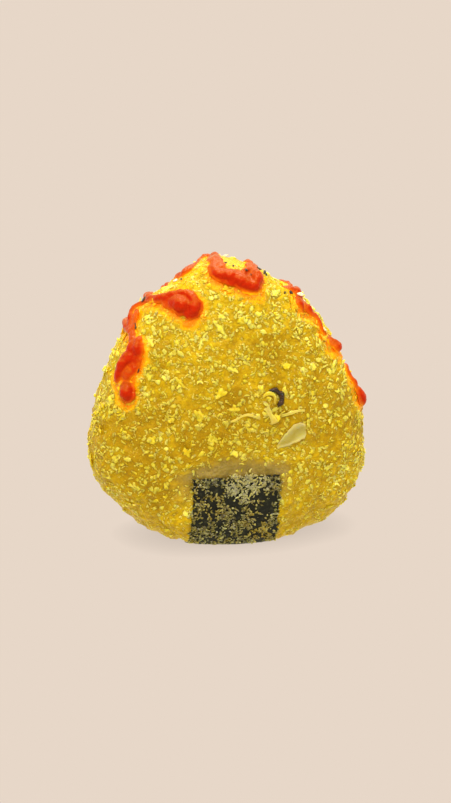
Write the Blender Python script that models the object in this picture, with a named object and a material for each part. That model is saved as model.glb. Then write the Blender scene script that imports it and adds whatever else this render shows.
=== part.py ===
"""A deep-fried rice ball: a rounded triangle of rice in a crust of bread crumbs, standing on its base.
A strip of seaweed under the crumbs goes round the base, and a thick red sauce is drizzled over the ridge.

The front faces -Y, and the origin is on the table under the middle of the ball. Units are metres.
"""

import math
import random

import bmesh
import bpy
from mathutils import Matrix, Vector, noise

MM = 0.001

# The ball's even form, before its relief. Its outline bulges towards these sides, each given by the
# direction that it faces in the XZ plane, in degrees from +X towards +Z, and its distance from the centre.
SIDES = (
    (38.0, 65.2 * MM),  # upper right
    (108.0, 65.2 * MM),  # upper left
    (180.0, 46.4 * MM),  # left flank
    (0.0, 46.4 * MM),  # right flank
    (270.0, 34.1 * MM),  # base
)
OUTLINE_ROUNDING = 1.79
FACE_ROUNDING = 3.0
HALF_WIDTH = 42.0 * MM
HALF_HEIGHT = 44.0 * MM
HALF_DEPTH = 19.2 * MM
FOOT_TRIM = 4.2 * MM
CENTRE = Vector((2.3 * MM, 0.0, 34.1 * MM - FOOT_TRIM))
SLOPE_STEP = 1e-4

# Swellings and hollows of the ridge and flanks: heading round the ball in degrees from +X towards +Z,
# latitude in degrees towards the front face (back is negative), spread in degrees, and height.
SWELLS = (
    (172, -2, 6, -0.7 * MM),
    (163, -2, 9, 0.5 * MM),
    (150, -2, 11, 1.4 * MM),
    (125, -3, 6, 1.3 * MM),
    (110, -5, 8, -3.5 * MM),
    (88, 0, 6, -2.3 * MM),
    (77, 2, 7, -2.7 * MM),
    (66, 4, 5, -0.6 * MM),
    (38, 0, 9, -1.8 * MM),
    (17, 9, 9, 1.3 * MM),
    (6, 0, 7, 0.8 * MM),
    (316, 0, 9, 2.4 * MM),
    (222, 0, 9, 0.9 * MM),
)

# Relief of the crust: broad lumps from the hand that pressed it, and crags of batter.
LUMP_SPACING = 15.0 * MM
LUMP_HEIGHT = 1.0 * MM
CRAG_SPACING = 4.2 * MM
CRAG_HEIGHT = 0.9 * MM
CORE_CUTS = 12

# Bread crumbs that are large enough to show as solids.
CRUMB_GAP = 7.0 * MM
CRUMB_TRIES = 2500
CRUMB_LENGTH = (2.4 * MM, 4.4 * MM)
CRUMB_WIDTH_SHARE = 0.62
CRUMB_THICKNESS_SHARE = 0.42
CRUMB_JITTER = 0.35
CRUMB_SKEW = 0.2
CRUMB_TILT = 22.0
CRUMB_FLOOR = 3.4 * MM
CRUMB_STRIP_GAP = CRUMB_LENGTH[1] / 4
CRUMB_SEED = 7

# One much larger flake lies on the right of the front face.
FLAKE_AT = (21.5, 55.0)
FLAKE_SIZE = (9.4 * MM, 4.2 * MM, 1.3 * MM)
FLAKE_TURN = 33.0
FLAKE_LIFT = 0.2 * MM

# The seaweed strip runs from the front face, under the base and up the back.
STRIP_WIDTH = 26.0 * MM
STRIP_MIDDLE = -1.5 * MM
STRIP_TOP_TILT = 20.0
STRIP_PROUD = 0.5 * MM
STRIP_SUNK = 0.9 * MM
STRIP_COLUMNS = 7
STRIP_ROWS = 20
STRIP_CRINKLE = 0.25 * MM
STRIP_GAP = 0.35 * MM
STRIP_CRUMB_GAP = 4.0 * MM
STRIP_CRUMB_LENGTH = (1.8 * MM, 3.0 * MM)
STRIP_CRUMB_MARGIN = 1.8 * MM
STRIP_CRUMB_SEED = 11
GROOVE_REACH = 5.0 * MM
STRIP_FIT_HALVINGS = 40

# The drizzle. Each stop is a heading and a latitude in degrees, as above, and the bead's radius in
# millimetres.
DRIZZLE = {
    "left_drip": (
        (149, 11.5, 1.6), (145.5, 11.8, 1.8), (141.5, 12, 2.1), (138, 12, 2.0), (135.5, 11, 1.6),
        (133.5, 7.5, 1.2), (132, 3.5, 1.2), (130, 0.5, 1.3), (127, -1.5, 1.1), (124, -0.5, 1.0),
        (121.5, 2.5, 1.1), (119, 7, 1.2), (116.5, 9.3, 1.3), (113.5, 10.8, 1.3), (110.8, 12.5, 1.3),
        (109.2, 14.5, 1.4), (108.8, 16.3, 1.6), (110.3, 17.8, 1.7), (111.5, 18, 1.4),
    ),
    "left_back_loop": (
        (133, 3, 1.3), (132, -6, 1.5), (129.5, -14, 1.7), (125, -18, 1.9), (121.5, -12, 1.6),
        (120.5, -5, 1.3), (121, 1, 1.2),
    ),
    "curl_middle": ((116, 12, 1.4), (113.8, 13.4, 2.1), (113.4, 15.2, 2.2), (111.8, 16, 1.6)),
    "left_smear": (
        (132.5, 12.5, 1.3), (134.8, 14, 1.4), (137, 15, 1.0), (140, 15.8, 0.8), (143, 16.5, 0.9),
        (145.5, 16.5, 1.1),
    ),
    "left_drop": ((148.5, 15.5, 1.1), (149.8, 17, 1.7), (152, 18, 2.1), (153.4, 18.5, 1.6)),
    "top_loops": (
        (118, -22, 2.0), (114.5, -14, 1.3), (112, -5, 1.0), (110, 1, 1.1), (108, 6, 1.4),
        (105.5, 4, 1.4), (103, 0.5, 1.0), (100.5, -3.5, 0.8), (97.5, -4, 1.1), (96.2, -1.5, 1.5),
        (96.8, 2, 1.0), (98.4, 7, 0.9), (99.3, 10, 1.2), (98.3, 12.2, 1.5), (95, 12.6, 1.6),
        (91.8, 14, 1.8), (89.2, 15, 2.0), (87.2, 15.2, 2.1), (86, 13, 1.7), (86.2, 10.5, 1.2),
        (86.8, 7.5, 1.0), (84.5, 4, 0.9), (83.5, -3, 0.7), (84, -13, 1.4), (81, -20, 1.8),
        (76.5, -21, 1.6), (72, -13, 1.0), (69.5, -4, 0.9), (69, 4, 1.1), (70, 8.5, 1.5),
        (68, 10, 1.1),
    ),
    "top_lobe": ((90.5, 12.5, 1.4), (89, 11, 1.4)),
    "right_bit": ((75.5, 9.5, 0.8), (72.5, 9.5, 1.3), (70.5, 9.2, 1.3)),
    "right_ridge": (
        (66, 12, 0.9), (64.5, 12, 1.2), (62.5, 13, 0.9), (59.5, 12, 0.9), (57, 13.5, 1.1),
        (55.5, 14, 1.0), (53, 14, 0.8), (51, 13.5, 0.7), (49.5, 13.5, 1.1), (46.5, 13.5, 1.4),
        (45, 14, 1.4), (46, 15.5, 1.1),
    ),
    "right_lobe": ((70.5, 13, 1.0), (68.5, 14, 1.3), (67.5, 14.5, 1.0)),
    "right_loop": (
        (61, -22, 2.1), (56, -17, 1.7), (51, -18, 1.7), (46, -16, 1.5), (42, -10, 1.1),
        (38.5, 0, 0.8), (36, 8, 0.8), (34, 13, 0.9), (30.5, 13.5, 1.0), (27, 14, 1.0),
        (23.5, 13.5, 1.1), (21, 13, 1.4), (18, 12.5, 1.9), (16.4, 12.8, 1.8),
    ),
}
DRIZZLE_STEP = 2.6 * MM
DRIZZLE_RISE = 0.15
DRIZZLE_END_SHARES = (0.55, 0.95)
DRIZZLE_SIDES_SETTING = 2
DRIZZLE_WELD = 0.01 * MM

CRUST_COLOUR = (0.80, 0.48, 0.05, 1.0)
SEAWEED_COLOUR = (0.03, 0.035, 0.02, 1.0)
CRUST_ROUGHNESS = 0.45
SEAWEED_ROUGHNESS = 0.5


def remove_objects(objects):
    for old in list(objects):
        bpy.data.objects.remove(old)


def material(name, colour, roughness):
    made = bpy.data.materials.new(name)
    made.use_nodes = True
    shader = made.node_tree.nodes["Principled BSDF"]
    shader.inputs["Base Color"].default_value = colour
    shader.inputs["Roughness"].default_value = roughness
    shader.inputs["Metallic"].default_value = 0.0
    return made


def new_object(name, bm, collection=None):
    """Makes an object from a bmesh and frees the bmesh."""
    bmesh.ops.recalc_face_normals(bm, faces=bm.faces[:])
    mesh = bpy.data.meshes.new(name)
    bm.to_mesh(mesh)
    bm.free()
    made = bpy.data.objects.new(name, mesh)
    (collection or bpy.context.scene.collection).objects.link(made)
    return made


def form(offset):
    """1 for an offset from the centre that ends on the even form, and less inside it."""
    pull = 0.0
    for facing, reach in SIDES:
        turn = math.radians(facing)
        towards = (offset.x * math.cos(turn) + offset.z * math.sin(turn)) / reach
        pull += max(0.0, towards) ** OUTLINE_ROUNDING
    outline = pull ** (FACE_ROUNDING / OUTLINE_ROUNDING)
    face = abs(offset.y / HALF_DEPTH) ** FACE_ROUNDING
    return (outline + face) ** (1 / FACE_ROUNDING)


def relief(point):
    """Height of the crust's lumps and crags at a point."""
    lump = noise.noise(point / LUMP_SPACING) * LUMP_HEIGHT
    crag = noise.noise(point / CRAG_SPACING) * CRAG_HEIGHT
    return lump + crag


def above_table(point, height=0.0):
    return Vector((point.x, point.y, max(point.z, height)))


def heading_direction(heading, latitude):
    turn, tilt = math.radians(heading), math.radians(latitude)
    flat = math.cos(tilt)
    return Vector((flat * math.cos(turn), -math.sin(tilt), flat * math.sin(turn)))


def swell(direction):
    """Height of the named swellings and hollows in a direction from the centre."""
    height = 0.0
    for heading, latitude, spread, most in SWELLS:
        away = math.degrees(direction.angle(heading_direction(heading, latitude)))
        height += most * math.exp(-((away / spread) ** 2))
    return height


def on_form(direction, lift=0.0):
    """The point of the ball in a direction from its centre, before its relief, raised by lift."""
    reach = 1 / form(direction)
    return CENTRE + direction * (reach + swell(direction) + lift)


def on_crust(direction, lift=0.0):
    even = on_form(direction)
    return above_table(even + direction * (relief(even) + lift))


def outward(direction):
    """The even form's outward normal, from the slope of form()."""
    axes = [axis * SLOPE_STEP for axis in Matrix.Identity(3)]
    slope = [form(direction + axis) - form(direction - axis) for axis in axes]
    return Vector(slope).normalized()


def ball_core():
    """The rice ball and its batter: a divided cube drawn out to the form, with the relief."""
    bm = bmesh.new()
    bmesh.ops.create_cube(bm, size=2.0)
    bmesh.ops.subdivide_edges(bm, edges=bm.edges[:], cuts=CORE_CUTS, use_grid_fill=True)
    for vert in bm.verts:
        ball = vert.co.normalized()
        spread = Vector((ball.x * HALF_WIDTH, ball.y * HALF_DEPTH, ball.z * HALF_HEIGHT))
        vert.co = on_crust(spread.normalized())
    return bm


def crumb(place, normal, size, turn, tilt, draw):
    """One bread crumb: a jagged little flake, turned about the crust's normal and tipped."""
    bm = bmesh.new()
    bmesh.ops.create_cube(bm, size=1.0)
    for vert in bm.verts:
        vert.co *= 1 - draw.uniform(0.0, CRUMB_JITTER)
        vert.co.x += draw.uniform(-CRUMB_SKEW, CRUMB_SKEW)
        vert.co.y += draw.uniform(-CRUMB_SKEW, CRUMB_SKEW)
    bmesh.ops.triangulate(bm, faces=bm.faces[:])
    upright = normal.to_track_quat("Z", "Y").to_matrix()
    spin = Matrix.Rotation(math.radians(turn), 3, "Z")
    tip = Matrix.Rotation(math.radians(tilt), 3, "Y")
    stretch = Matrix.Diagonal(size)
    turned = upright @ spin @ tip @ stretch
    bmesh.ops.transform(bm, matrix=Matrix.Translation(place) @ turned.to_4x4(), verts=bm.verts[:])
    return bm


def on_strip(point, margin):
    """Whether a point of the crust lies over the seaweed strip, or within margin of it."""
    top = CENTRE.z - math.tan(math.radians(STRIP_TOP_TILT)) * HALF_DEPTH
    beside = abs(point.x - STRIP_MIDDLE) < STRIP_WIDTH / 2 + margin
    return beside and point.z < top + margin


def spread_places(draw, gap, wanted):
    """Directions to places on the crust at least gap apart, of those that wanted() accepts."""
    places, chosen = [], []
    for _ in range(CRUMB_TRIES):
        ball = Vector([draw.gauss(0, 1) for _ in range(3)]).normalized()
        spread = Vector((ball.x * HALF_WIDTH, ball.y * HALF_DEPTH, ball.z * HALF_HEIGHT))
        direction = spread.normalized()
        place = on_crust(direction)
        if not wanted(place) or any((place - other).length < gap for other in places):
            continue
        places.append(place)
        chosen.append(direction)
    return chosen


def add_crumbs(name, directions, lengths, lift, draw, collection):
    for number, direction in enumerate(directions):
        length = draw.uniform(*lengths)
        size = (length, length * CRUMB_WIDTH_SHARE, length * CRUMB_THICKNESS_SHARE)
        place = on_crust(direction, lift)
        turn, tilt = draw.uniform(0, 180), draw.uniform(-CRUMB_TILT, CRUMB_TILT)
        bm = crumb(place, outward(direction), size, turn, tilt, draw)
        new_object(f"{name}_{number}", bm, collection)


def large_flake(draw, collection):
    direction = heading_direction(*FLAKE_AT)
    place = on_crust(direction, FLAKE_LIFT)
    bm = crumb(place, outward(direction), FLAKE_SIZE, FLAKE_TURN, 0.0, draw)
    new_object("large_flake", bm, collection)


def smooth_route(stops):
    """Stops of a strand read from a smooth curve through them, about DRIZZLE_STEP apart."""
    ends = [stops[0], *stops, stops[-1]]
    route = []
    for before, start, end, after in zip(ends, ends[1:], ends[2:], ends[3:]):
        span = (on_form(heading_direction(*end[:2])) - on_form(heading_direction(*start[:2]))).length
        count = max(1, round(span / DRIZZLE_STEP))
        for step in range(count):
            t = step / count
            route.append([
                b + 0.5 * t * (c - a + t * (2 * a - 5 * b + 4 * c - d + t * (3 * (b - c) + d - a)))
                for a, b, c, d in zip(before, start, end, after)
            ])
    route.append(list(stops[-1]))
    return route


def strand(name, stops, collection):
    """One strand of sauce: a round bead along its route, drawn in at both ends."""
    route = smooth_route(stops)
    curve = bpy.data.curves.new(name, "CURVE")
    curve.dimensions = "3D"
    curve.bevel_depth = MM
    curve.bevel_resolution = DRIZZLE_SIDES_SETTING
    curve.use_fill_caps = True
    spline = curve.splines.new("POLY")
    spline.points.add(len(route) - 1)
    for index, (heading, latitude, radius) in enumerate(route):
        direction = heading_direction(heading, latitude)
        place = on_crust(direction, DRIZZLE_RISE * radius * MM)
        from_end = min(index, len(route) - 1 - index)
        share = DRIZZLE_END_SHARES[from_end] if from_end < len(DRIZZLE_END_SHARES) else 1.0
        spline.points[index].co = (*place, 1.0)
        spline.points[index].radius = radius * share
    tube = bpy.data.objects.new(name + "_curve", curve)
    bpy.context.scene.collection.objects.link(tube)
    graph = bpy.context.evaluated_depsgraph_get()
    bm = bmesh.new()
    bm.from_mesh(tube.evaluated_get(graph).to_mesh())
    bmesh.ops.remove_doubles(bm, verts=bm.verts[:], dist=DRIZZLE_WELD)
    remove_objects([tube])
    return new_object(name, bm, collection)


def strip_block(half_width, proud, sunk, end_margin, lowest, crinkle):
    """A block that follows the form round the base, from proud above the crust to sunk below it."""
    start = math.radians(STRIP_TOP_TILT) - end_margin / HALF_DEPTH
    sweep = math.pi - 2 * start

    def place(across, along, lift, height, rough):
        angle = start + along * sweep
        away = Vector((0.0, -math.cos(angle), -math.sin(angle)))
        x = STRIP_MIDDLE + across * half_width - CENTRE.x
        near, far = 0.0, 2 * HALF_HEIGHT
        for _ in range(STRIP_FIT_HALVINGS):
            reach = (near + far) / 2
            inside = form(Vector((x, 0.0, 0.0)) + away * reach) < 1
            near, far = (reach, far) if inside else (near, reach)
        point = CENTRE + Vector((x, 0.0, 0.0)) + away * reach
        bump = rough * noise.noise(point / CRAG_SPACING)
        return above_table(point + away * (lift + bump), height)

    bm = bmesh.new()
    bmesh.ops.create_grid(bm, x_segments=STRIP_COLUMNS, y_segments=STRIP_ROWS, size=1.0)
    grid = {vert: (vert.co.x, (vert.co.y + 1) / 2) for vert in bm.verts}
    copy = bmesh.ops.extrude_face_region(bm, geom=bm.faces[:])
    inner = [item for item in copy["geom"] if isinstance(item, bmesh.types.BMVert)]
    for vert in inner:
        vert.co = place(vert.co.x, (vert.co.y + 1) / 2, -sunk, sunk, 0.0)
    for vert, (across, along) in grid.items():
        vert.co = place(across, along, proud, lowest, crinkle)
    return bm


def join_toppings(base, collection, solver):
    """Fuses a collection's objects to base and removes them."""
    union = base.modifiers.new("Toppings", "BOOLEAN")
    union.operation = "UNION"
    union.operand_type = "COLLECTION"
    union.collection = collection
    union.solver = solver
    apply_modifiers(base)
    remove_objects(collection.objects)
    bpy.data.collections.remove(collection)


def cut(base, cutter):
    """Takes a cutter away from base and removes the cutter."""
    difference = base.modifiers.new("Groove", "BOOLEAN")
    difference.operation = "DIFFERENCE"
    difference.object = cutter
    difference.solver = "EXACT"
    apply_modifiers(base)
    remove_objects([cutter])


def apply_modifiers(base):
    graph = bpy.context.evaluated_depsgraph_get()
    solid = bpy.data.meshes.new_from_object(base.evaluated_get(graph))
    base.modifiers.clear()
    base.data = solid


def keep_largest_shell(base):
    """Drops loose scraps, and fills any hollow that the fusing sealed."""
    bm = bmesh.new()
    bm.from_mesh(base.data)
    unseen, shells = set(bm.verts), []
    while unseen:
        stack, shell = [unseen.pop()], []
        while stack:
            vert = stack.pop()
            shell.append(vert)
            for edge in vert.link_edges:
                other = edge.other_vert(vert)
                if other in unseen:
                    unseen.remove(other)
                    stack.append(other)
        shells.append(shell)
    shells.sort(key=len)
    for shell in shells[:-1]:
        bmesh.ops.delete(bm, geom=shell, context="VERTS")
    bmesh.ops.triangulate(bm, faces=bm.faces[:])
    bm.to_mesh(base.data)
    bm.free()


def topping_collection(name):
    made = bpy.data.collections.new(name)
    bpy.context.scene.collection.children.link(made)
    return made


def finish(base, finish_material):
    base.data.materials.clear()
    base.data.materials.append(finish_material)


def rice_ball():
    """The crusted ball with its large crumbs and the drizzle, grooved where the seaweed lies."""
    draw = random.Random(CRUMB_SEED)
    ball = new_object("rice_ball", ball_core())
    toppings = topping_collection("ball_toppings")

    def wanted(place):
        return place.z > CRUMB_FLOOR and not on_strip(place, CRUMB_STRIP_GAP)

    places = spread_places(draw, CRUMB_GAP, wanted)
    add_crumbs("crumb", places, CRUMB_LENGTH, 0.0, draw, toppings)
    large_flake(draw, toppings)
    for name, stops in DRIZZLE.items():
        strand(name, stops, toppings)
    join_toppings(ball, toppings, "EXACT")
    half_width = STRIP_WIDTH / 2 + STRIP_GAP
    sunk = STRIP_SUNK + STRIP_GAP
    groove = strip_block(half_width, GROOVE_REACH, sunk, STRIP_GAP, -GROOVE_REACH, 0.0)
    cut(ball, new_object("groove", groove))
    keep_largest_shell(ball)
    finish(ball, material("crumb_crust", CRUST_COLOUR, CRUST_ROUGHNESS))
    return ball


def seaweed_strip():
    """The seaweed strip with the crumbs that stick to it."""
    draw = random.Random(STRIP_CRUMB_SEED)
    block = strip_block(STRIP_WIDTH / 2, STRIP_PROUD, STRIP_SUNK, 0.0, 0.0, STRIP_CRINKLE)
    strip = new_object("seaweed_strip", block)
    toppings = topping_collection("strip_toppings")

    def wanted(place):
        return place.z > CRUMB_FLOOR and on_strip(place, -STRIP_CRUMB_MARGIN)

    places = spread_places(draw, STRIP_CRUMB_GAP, wanted)
    add_crumbs("strip_crumb", places, STRIP_CRUMB_LENGTH, STRIP_PROUD, draw, toppings)
    join_toppings(strip, toppings, "EXACT")
    keep_largest_shell(strip)
    finish(strip, material("seaweed", SEAWEED_COLOUR, SEAWEED_ROUGHNESS))
    return strip


def main():
    remove_objects(bpy.data.objects)
    rice_ball()
    seaweed_strip()


main()
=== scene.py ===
import math
import random

import bmesh
import bpy
import numpy as np
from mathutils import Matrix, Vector, noise


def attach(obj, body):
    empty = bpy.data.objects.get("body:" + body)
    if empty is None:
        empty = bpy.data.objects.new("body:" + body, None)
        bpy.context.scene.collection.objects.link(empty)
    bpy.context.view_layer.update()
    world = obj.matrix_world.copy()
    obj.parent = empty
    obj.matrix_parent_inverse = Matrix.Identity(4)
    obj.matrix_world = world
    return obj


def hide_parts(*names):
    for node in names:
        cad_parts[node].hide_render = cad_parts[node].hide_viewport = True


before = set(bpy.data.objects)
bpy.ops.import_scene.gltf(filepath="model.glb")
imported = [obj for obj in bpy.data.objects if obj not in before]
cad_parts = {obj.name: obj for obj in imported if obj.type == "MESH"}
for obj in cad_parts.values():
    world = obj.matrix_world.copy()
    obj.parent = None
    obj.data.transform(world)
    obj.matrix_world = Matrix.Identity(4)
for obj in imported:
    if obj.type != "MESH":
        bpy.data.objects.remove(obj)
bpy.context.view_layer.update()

MM = 0.001

# The ball's even form. Its outline bulges towards these sides: the direction that each faces in the
# XZ plane, in degrees from +X towards +Z, and its distance from the centre.
SIDES = (
    (38.0, 65.2 * MM),
    (108.0, 65.2 * MM),
    (180.0, 46.4 * MM),
    (0.0, 46.4 * MM),
    (270.0, 34.1 * MM),
)
OUTLINE_ROUNDING = 1.79
FACE_ROUNDING = 3.0
HALF_WIDTH = 42.0 * MM
HALF_DEPTH = 19.2 * MM
HALF_HEIGHT = 44.0 * MM
CENTRE = np.array([2.3, 0.0, 29.9]) * MM

# Swellings and hollows: heading, latitude towards the front face, spread in degrees, and height in
# millimetres.
SWELLS = (
    (172, -2, 6, -0.7), (163, -2, 9, 0.5), (150, -2, 11, 1.4), (125, -3, 6, 1.3),
    (110, -5, 8, -3.5), (88, 0, 6, -2.3), (77, 2, 7, -2.7), (66, 4, 5, -0.6), (38, 0, 9, -1.8),
    (17, 9, 9, 1.3), (6, 0, 7, 0.8), (316, 0, 9, 2.4), (222, 0, 9, 0.9),
)

# Noise comes in layers: the spacing of its features, their size, and a shift that sets it apart.
# The batter's relief is lumps and crags, with a grain on them that fades on smooth batter.
LUMPS = ((15.0 * MM, 1.0 * MM, 0.0), (4.2 * MM, 0.9 * MM, 0.0))
GRAINS = ((1.9 * MM, 0.5 * MM, 0.0), (0.9 * MM, 0.22 * MM, 0.0))
GRAIN_FADE = 0.75
CRUST_CUTS = 119
CRUST_UNDER_STRIP = 0.7 * MM
UNDER_STRIP_EDGE = (-0.1 * MM, 0.6 * MM)

# The smooth tan batter round the strip's top edge: its reach, how its rim wanders, how it draws in
# over the strip's corners, its weights left and right, and how it fades down the strip's sides.
HALO_REACH = (3.0 * MM, 7.6 * MM)
HALO_WANDER = ((5.0 * MM, 1.6 * MM, 3.0), (2.0 * MM, 0.7 * MM, 4.0))
HALO_ARCH = 2.0 * MM
HALO_ARCH_SPAN = (3.0 * MM, 16.0 * MM)
HALO_SIDES = (0.75, 1.2)
HALO_LOW_FADE = (-11.0 * MM, -2.0 * MM)
HALO_EDGE_FADE = (0.5, -1.5 * MM, 1.0 * MM)
HALO_BARENESS = 0.95

# How brown the crust is: evenly, in patches and in named spots, plus a darker band at one height, which is
# painted shade rather than browning.
TOAST = 0.16
TOAST_PATCHES = ((9.0 * MM, 0.5, 7.0), (3.0 * MM, 0.35, 9.0))
TOAST_IN_SPOTS = 0.7
PAINTED_SHADE_BAND = (38.0 * MM, 15.0 * MM, 0.6)

# The small crumbs on the batter. Each kind has how many are strewn, the range of their lengths, how
# pale they are from 0 to 1, how high they lie, and how far they tip.
CRUMB_KINDS = {
    "fine_crumbs": (11000, (0.3 * MM, 0.7 * MM), 0.5, -0.05 * MM, 0.2),
    "grain_crumbs": (14500, (0.5 * MM, 1.3 * MM), 0.5, -0.08 * MM, 0.2),
    "flat_crumbs": (3600, (0.9 * MM, 2.6 * MM), 0.5, 0.0, 0.22),
    "shred_crumbs": (4400, (1.0 * MM, 2.5 * MM), 0.7, 0.02 * MM, 0.25),
    "curled_crumbs": (420, (1.6 * MM, 3.4 * MM), 0.75, 0.12 * MM, 0.35),
}
CRUMB_LENGTH_BIAS = (1.4, 2.6)
CRUMB_SHRINK = (0.6, 6.0 * MM, 22.0 * MM)
CRUMB_TINT_SPREAD = 0.32
CRUMB_FLATTENING = 0.55
TIP_PALENESS = 1.6

# Where they stay: the share that does, how it clumps, the least of it, and the distances from the
# strip and from the sauce.
CRUMB_COVER = 0.8
CRUMB_CLUMPS = ((3.4 * MM, 0.5, 11.0), (9.0 * MM, 0.3, 13.0))
CRUMB_LEAST_COVER = 0.2
CRUMB_TO_STRIP = 0.1 * MM
CRUMB_TO_SAUCE = (-0.6 * MM, 0.7 * MM)

# The large crumbs: their gap, how many places are tried, their lengths, the height they start from,
# how they shrink near the foot, their tints, how far they tip, and where the crust is too smooth.
CRUMB_GAP = 7.0 * MM
CRUMB_TRIES = 2500
CRUMB_LENGTH = (2.4 * MM, 4.4 * MM)
CRUMB_FLOOR = 3.4 * MM
LARGE_SHRINK = (0.65, 16.0 * MM, 30.0 * MM)
LARGE_TINTS = (0.1, 0.7)
LARGE_TIP = 0.2
LARGE_TO_SAUCE = 0.5 * MM
LARGE_ON_SMOOTH = 0.3

# How many shapes there are of each kind of crumb, how far shreds and curls bend, and the seeds.
GRAIN_SHAPES = 12
CHIP_SHAPES = 14
SHRED_SHAPES = 14
CURL_SHAPES = 8
TORN_SHAPES = 12
SHRED_BEND = (0.2, 1.1)
CURL_BEND = (1.4, 2.6)
LARGE_PLACES_SEED = 7
SEEDS = {"crust": 21, "sauce": 31, "strip": 41}

# The seaweed strip runs from the front face, under the base and up the back.
STRIP_WIDTH = 26.0 * MM
STRIP_MIDDLE = -1.5 * MM
STRIP_TOP_TILT = 20.0
STRIP_TOP = CENTRE[2] - math.tan(math.radians(STRIP_TOP_TILT)) * HALF_DEPTH
STRIP_PROUD = 0.45 * MM
STRIP_THICKNESS = 0.35 * MM
STRIP_COLUMNS = 80
STRIP_ROWS = 240
STRIP_CRINKLES = ((4.2 * MM, 0.25 * MM, 2.0), (1.5 * MM, 0.24 * MM, 2.0), (0.6 * MM, 0.14 * MM, 2.0))
REACH_STEPS = 40

# Its edges: how far the sides fray, how far its ends do as a share of its length, how close to an
# edge each is felt, and the bulge of its left side, by place along it, spread and share of the width.
SIDE_FRAY = 0.9 * MM
END_FRAY = 0.006
SIDE_NEARNESS = 8
END_NEARNESS = 30
SIDE_BULGE = (0.3, 0.06, 0.07)

# The crumbs on the strip: how many shapes and crumbs there are of each kind, and their lengths.
STRIP_GRAINS = (10, 9500, (0.4 * MM, 1.3 * MM))
STRIP_SHREDS = (16, 4200, (0.9 * MM, 2.4 * MM))
STRIP_SHRED_BEND = (0.3, 1.5)
STRIP_COVER = 0.66
STRIP_CLUMPS = ((3.4 * MM, 1.1, 15.0), (1.5 * MM, 0.4, 15.0))
STRIP_LEAST_COVER = 0.08
STRIP_BARENESS = 0.8
STRIP_CREAM_COVER = 0.9
STRIP_CRUMB_FLOOR = 0.6 * MM
STRIP_CRUMB_LIFT = 0.1 * MM
STRIP_CRUMB_TIP = 0.4
STRIP_TINT = (0.08, 0.26)
CREAM_TINT = 0.7
CREAM_PILE = 0.7 * MM

# The drizzle, as stops of heading, latitude and the bead's radius in millimetres.
DRIZZLE = {
    "left_drip": (
        (149, 11.5, 1.6), (145.5, 11.8, 1.8), (141.5, 12, 2.1), (138, 12, 2.0), (135.5, 11, 1.6),
        (133.5, 7.5, 1.2), (132, 3.5, 1.2), (130, 0.5, 1.3), (127, -1.5, 1.1), (124, -0.5, 1.0),
        (121.5, 2.5, 1.1), (119, 7, 1.2), (116.5, 9.3, 1.3), (113.5, 10.8, 1.3), (110.8, 12.5, 1.3),
        (109.2, 14.5, 1.4), (108.8, 16.3, 1.6), (110.3, 17.8, 1.7), (111.5, 18, 1.4),
    ),
    "left_back_loop": (
        (133, 3, 1.3), (132, -6, 1.5), (129.5, -14, 1.7), (125, -18, 1.9), (121.5, -12, 1.6),
        (120.5, -5, 1.3), (121, 1, 1.2),
    ),
    "curl_middle": ((116, 12, 1.4), (113.8, 13.4, 2.1), (113.4, 15.2, 2.2), (111.8, 16, 1.6)),
    "left_smear": (
        (132.5, 12.5, 1.3), (134.8, 14, 1.4), (137, 15, 1.0), (140, 15.8, 0.8), (143, 16.5, 0.9),
        (145.5, 16.5, 1.1),
    ),
    "left_drop": ((148.5, 15.5, 1.1), (149.8, 17, 1.7), (152, 18, 2.1), (153.4, 18.5, 1.6)),
    "top_loops": (
        (118, -22, 2.0), (114.5, -14, 1.3), (112, -5, 1.0), (110, 1, 1.1), (108, 6, 1.4),
        (105.5, 4, 1.4), (103, 0.5, 1.0), (100.5, -3.5, 0.8), (97.5, -4, 1.1), (96.2, -1.5, 1.5),
        (96.8, 2, 1.0), (98.4, 7, 0.9), (99.3, 10, 1.2), (98.3, 12.2, 1.5), (95, 12.6, 1.6),
        (91.8, 14, 1.8), (89.2, 15, 2.0), (87.2, 15.2, 2.1), (86, 13, 1.7), (86.2, 10.5, 1.2),
        (86.8, 7.5, 1.0), (84.5, 4, 0.9), (83.5, -3, 0.7), (84, -13, 1.4), (81, -20, 1.8),
        (76.5, -21, 1.6), (72, -13, 1.0), (69.5, -4, 0.9), (69, 4, 1.1), (70, 8.5, 1.5),
        (68, 10, 1.1),
    ),
    "top_lobe": ((90.5, 12.5, 1.4), (89, 11, 1.4)),
    "right_bit": ((75.5, 9.5, 0.8), (72.5, 9.5, 1.3), (70.5, 9.2, 1.3)),
    "right_ridge": (
        (66, 12, 0.9), (64.5, 12, 1.2), (62.5, 13, 0.9), (59.5, 12, 0.9), (57, 13.5, 1.1),
        (55.5, 14, 1.0), (53, 14, 0.8), (51, 13.5, 0.7), (49.5, 13.5, 1.1), (46.5, 13.5, 1.4),
        (45, 14, 1.4), (46, 15.5, 1.1),
    ),
    "right_lobe": ((70.5, 13, 1.0), (68.5, 14, 1.3), (67.5, 14.5, 1.0)),
    "right_loop": (
        (61, -22, 2.1), (56, -17, 1.7), (51, -18, 1.7), (46, -16, 1.5), (42, -10, 1.1),
        (38.5, 0, 0.8), (36, 8, 0.8), (34, 13, 0.9), (30.5, 13.5, 1.0), (27, 14, 1.0),
        (23.5, 13.5, 1.1), (21, 13, 1.4), (18, 12.5, 1.9), (16.4, 12.8, 1.8),
    ),
}
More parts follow.
